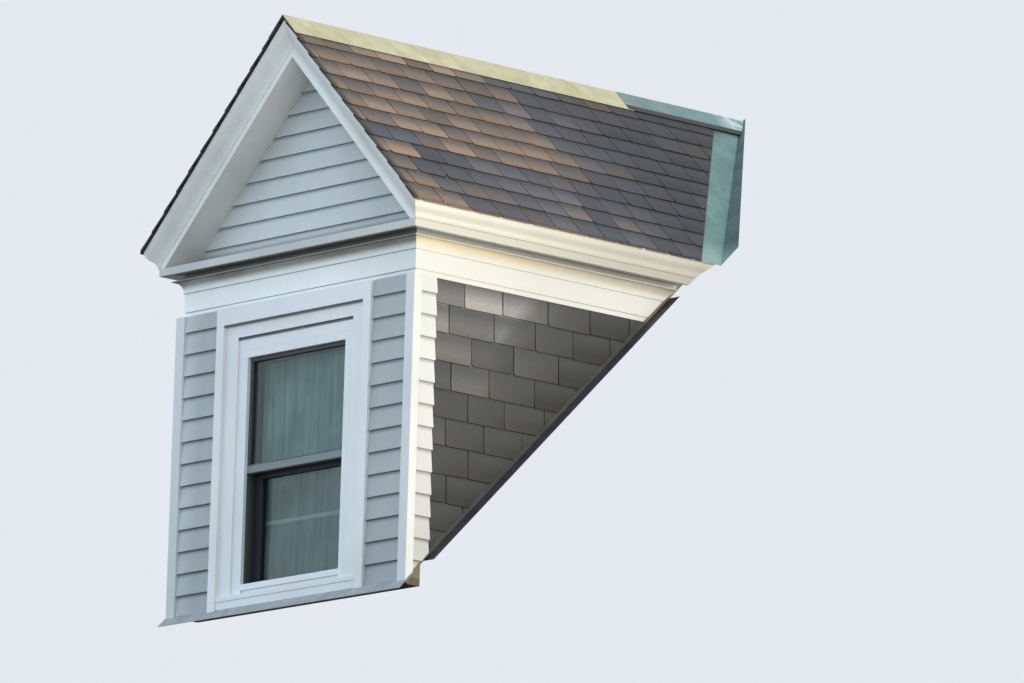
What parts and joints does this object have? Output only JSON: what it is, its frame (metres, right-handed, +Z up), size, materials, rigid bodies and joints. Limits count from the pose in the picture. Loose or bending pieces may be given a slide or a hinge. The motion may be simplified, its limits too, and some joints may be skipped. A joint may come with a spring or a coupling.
{
  "type": "gabled dormer window with slate roof and timber frame",
  "caption": "Gabled dormer window: lapped siding front with a double-hung sash, slate cheeks and roof, boxed cornices and copper ridge, open below where it meets the main roof.",
  "frame": {"origin": "middle of the level underside of the front sole plate", "axes": "+Z up, -Y out of the window, +X to the right as seen from in front, looking along +Y; the main roof rises towards +Y"},
  "size_m": [2.102, 3.2457, 3.0603],
  "materials": {
    "framing": "sawn softwood, dusty",
    "boarding": "sawn boards",
    "siding": "pale grey-blue lapped siding, satin",
    "trim": "white paint, weathered",
    "cheek_slate": "large grey slates, riven",
    "roof_slate": "dark grey and purple slates with brown ones among them",
    "copper": "verdigris",
    "pane": "clear window glass",
    "sash": "dark weathered paint, the meeting rail grey",
    "curtain": "sheer net",
    "rod": "dark bronze enamel"
  },
  "bodies": {
    "root": {"front_plates": "framing", "front_studs": "framing", "window_header": "framing", "cheek_sole_plates": "framing", "cheek_studs": "framing", "cheek_top_plates": "framing", "gable_frame": "framing", "rafters": "framing", "ridge_board": "framing", "valley_boards": "framing", "front_boards": "boarding", "cheek_boards": "boarding", "gable_boards": "boarding", "roof_boards_left": "boarding", "roof_boards_right": "boarding", "front_siding": "siding", "cheek_siding": "siding", "tympanum_siding": "siding", "corner_posts": "trim", "cheek_slates_left": "cheek_slate", "cheek_slates_right": "cheek_slate", "front_frieze": "trim", "left_frieze": "trim", "right_frieze": "trim", "front_cornice": "trim", "left_cornice": "trim", "right_cornice": "trim", "left_rake_cornice": "trim", "right_rake_cornice": "trim", "roof_slates_left": "roof_slate", "roof_slates_right": "roof_slate", "front_ridge_cap": "copper", "back_ridge_cap": "copper", "left_valley": "copper", "right_valley": "copper", "apron_flashing": "copper", "step_flashings": "copper", "window_frame": "trim", "window_sill": "trim", "window_casing": "trim", "upper_sash": "sash", "lower_sash": "sash", "window_panes": "pane", "net_curtain": "curtain", "curtain_rod": "rod"}
  },
  "joints": []
}
